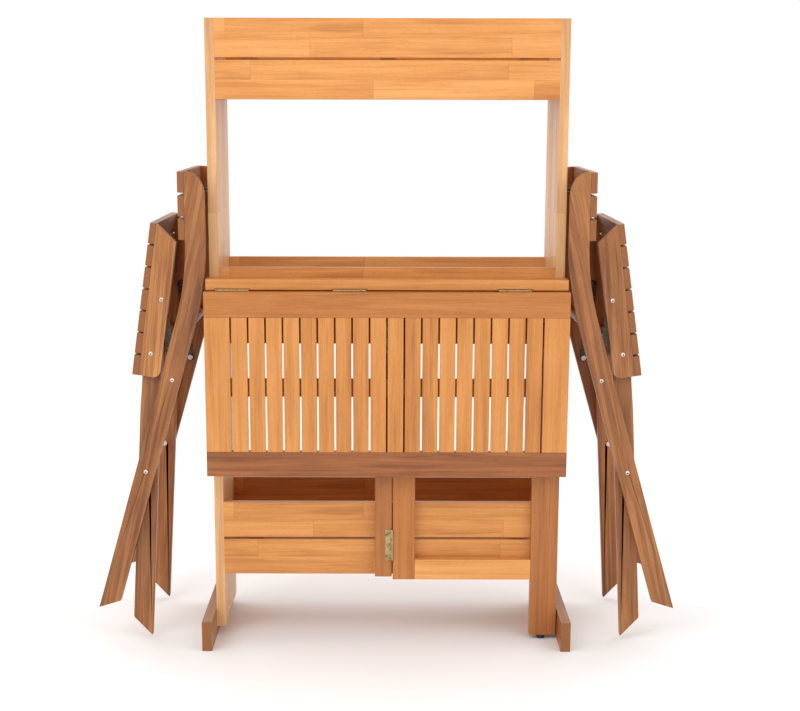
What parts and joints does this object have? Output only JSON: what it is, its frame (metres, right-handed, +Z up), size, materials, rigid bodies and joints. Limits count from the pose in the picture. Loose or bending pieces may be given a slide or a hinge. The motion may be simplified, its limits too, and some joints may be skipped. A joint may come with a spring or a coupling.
{
  "type": "patio dining set",
  "caption": "Free-standing wooden storage cabinet with a slatted drop-leaf table on a gate leg and folding slatted chairs hung on its sides.",
  "frame": {"origin": "on the floor, under the middle of the whole set's box", "axes": "+X to the right seen from the front, +Y from the front to the back, +Z up"},
  "size_m": [1.2018, 0.4174, 1.265],
  "materials": {
    "cabinet_wood": "oiled, satin",
    "dark_wood": "oiled, satin",
    "chair_wood": "oiled, satin",
    "brass": "plated, satin",
    "steel": "zinc plated",
    "black_plastic": "matt"
  },
  "bodies": {
    "cabinet": {"left_side_board_front": "cabinet_wood", "left_side_board_rear": "cabinet_wood", "right_side_board_front": "cabinet_wood", "right_side_board_rear": "cabinet_wood", "left_runner": "cabinet_wood", "right_runner": "cabinet_wood", "runner_screws": "steel", "top_box_front_boards": "cabinet_wood", "top_box_back_boards": "cabinet_wood", "top_box_battens": "cabinet_wood", "top_box_floor": "cabinet_wood", "middle_box_front_boards": "cabinet_wood", "middle_box_back_boards": "cabinet_wood", "middle_box_battens": "cabinet_wood", "middle_box_floor": "cabinet_wood", "lower_box_front_boards": "cabinet_wood", "lower_box_back_boards": "cabinet_wood", "lower_box_battens": "cabinet_wood", "lower_box_floor": "cabinet_wood", "centre_post": "cabinet_wood", "fixed_table_rail": "cabinet_wood", "chair_hanging_pins": "steel", "rail_hinge_leaves": "brass", "table_hinge_pins": "brass", "gate_post_hinge_leaves": "brass", "gate_hinge_pins": "brass"},
    "table_leaf": {"leaf_top_rail": "cabinet_wood", "leaf_bottom_rail": "dark_wood", "leaf_stiles": "cabinet_wood", "leaf_slats": "cabinet_wood", "leaf_batten": "cabinet_wood", "leaf_hinge_leaves": "brass"},
    "gate": {"gate_stile": "cabinet_wood", "gate_top_rail": "cabinet_wood", "gate_bottom_rail": "cabinet_wood", "gate_leg": "cabinet_wood", "gate_leg_strip": "cabinet_wood", "gate_glide": "black_plastic", "gate_hinge_leaves": "brass"},
    "left_chair_back": {"left_chair_back_rails": "chair_wood", "left_chair_back_slats": "chair_wood", "left_chair_rung": "chair_wood", "left_chair_frame_bolts": "steel"},
    "left_chair_legs": {"left_chair_rear_legs": "chair_wood", "left_chair_leg_stretcher": "chair_wood"},
    "left_chair_seat": {"left_chair_seat_rails": "chair_wood", "left_chair_seat_slats": "chair_wood", "left_chair_seat_bolts": "steel"},
    "left_chair_link_bars": {"left_chair_links": "brass"},
    "right_chair_back": {"right_chair_back_rails": "chair_wood", "right_chair_back_slats": "chair_wood", "right_chair_rung": "chair_wood", "right_chair_frame_bolts": "steel"},
    "right_chair_legs": {"right_chair_rear_legs": "chair_wood", "right_chair_leg_stretcher": "chair_wood"},
    "right_chair_seat": {"right_chair_seat_rails": "chair_wood", "right_chair_seat_slats": "chair_wood", "right_chair_seat_bolts": "steel"},
    "right_chair_link_bars": {"right_chair_links": "brass"}
  },
  "joints": [
    {"name": "table_leaf_hinge", "type": "hinge", "parent": "cabinet", "child": "table_leaf", "pos_m": [0, -0.142, 0.7365], "axis": [-1, 0, 0], "range_deg": [0, 90]},
    {"name": "gate_hinge", "type": "hinge", "parent": "cabinet", "child": "gate", "pos_m": [0.0115, -0.12355, 0.4], "axis": [0, 0, -1], "range_deg": [0, 3]},
    {"name": "left_chair_unfold", "type": "hinge", "parent": "left_chair_back", "child": "left_chair_legs", "pos_m": [-0.495, 0.03125, 0.3645], "axis": [0, -1, 0], "range_deg": [0, 63]},
    {"name": "left_chair_lift_off", "type": "slide", "parent": "cabinet", "child": "left_chair_back", "axis": [-1, 0, 0], "range_m": [0, 0.5]},
    {"name": "left_chair_seat_turn", "type": "hinge", "parent": "left_chair_legs", "child": "left_chair_seat", "pos_m": [-0.4775, 0.03125, 0.6087], "axis": [0, 1, 0], "range_deg": [0, 118]},
    {"name": "left_chair_link_turn", "type": "hinge", "parent": "left_chair_back", "child": "left_chair_link_bars", "pos_m": [-0.4356, 0.03125, 0.5548], "axis": [0, -1, 0], "range_deg": [0, 90]},
    {"name": "right_chair_unfold", "type": "hinge", "parent": "right_chair_back", "child": "right_chair_legs", "pos_m": [0.495, 0.03125, 0.3645], "axis": [0, 1, 0], "range_deg": [0, 63]},
    {"name": "right_chair_lift_off", "type": "slide", "parent": "cabinet", "child": "right_chair_back", "axis": [1, 0, 0], "range_m": [0, 0.5]},
    {"name": "right_chair_seat_turn", "type": "hinge", "parent": "right_chair_legs", "child": "right_chair_seat", "pos_m": [0.4775, 0.03125, 0.6087], "axis": [0, -1, 0], "range_deg": [0, 118]},
    {"name": "right_chair_link_turn", "type": "hinge", "parent": "right_chair_back", "child": "right_chair_link_bars", "pos_m": [0.4356, 0.03125, 0.5548], "axis": [0, 1, 0], "range_deg": [0, 90]}
  ],
  "couplings": [
    {"joint": "left_chair_lift_off", "follows": "left_chair_unfold", "m_per_rad": 0.45473},
    {"joint": "left_chair_seat_turn", "follows": "left_chair_unfold", "ratio": 1.873},
    {"joint": "left_chair_link_turn", "follows": "left_chair_unfold", "ratio": 1.4286},
    {"joint": "right_chair_lift_off", "follows": "right_chair_unfold", "m_per_rad": 0.45473},
    {"joint": "right_chair_seat_turn", "follows": "right_chair_unfold", "ratio": 1.873},
    {"joint": "right_chair_link_turn", "follows": "right_chair_unfold", "ratio": 1.4286}
  ]
}
